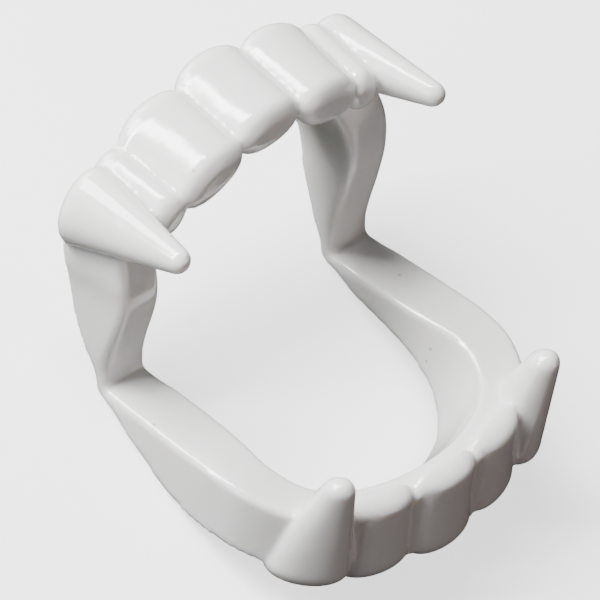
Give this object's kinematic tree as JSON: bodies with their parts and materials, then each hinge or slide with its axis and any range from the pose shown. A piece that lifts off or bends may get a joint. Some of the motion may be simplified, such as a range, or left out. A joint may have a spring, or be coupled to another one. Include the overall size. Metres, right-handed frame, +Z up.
{
  "type": "vampire fang denture",
  "caption": "One-piece plastic joke teeth: two horseshoe trays with fangs and front teeth, joined by a moulded fold behind each jaw.",
  "frame": {"origin": "centre of the bounding box's base, which is the surface that the denture rests on", "axes": "+Z up, -Y the way the lower teeth face, +X along the fold, to the right in the picture"},
  "size_m": [0.061, 0.073, 0.0334],
  "materials": {
    "white_plastic": "glossy moulded white"
  },
  "bodies": {
    "lower": {"lower_tray": "white_plastic"},
    "upper": {"upper_tray": "white_plastic"}
  },
  "joints": [
    {"name": "jaw_fold", "type": "hinge", "parent": "lower", "child": "upper", "pos_m": [0, 0.00798, 0.0018], "axis": [1, 0, 0], "range_deg": [-84, 70], "stiffness_Nm_per_rad": 0.03}
  ]
}
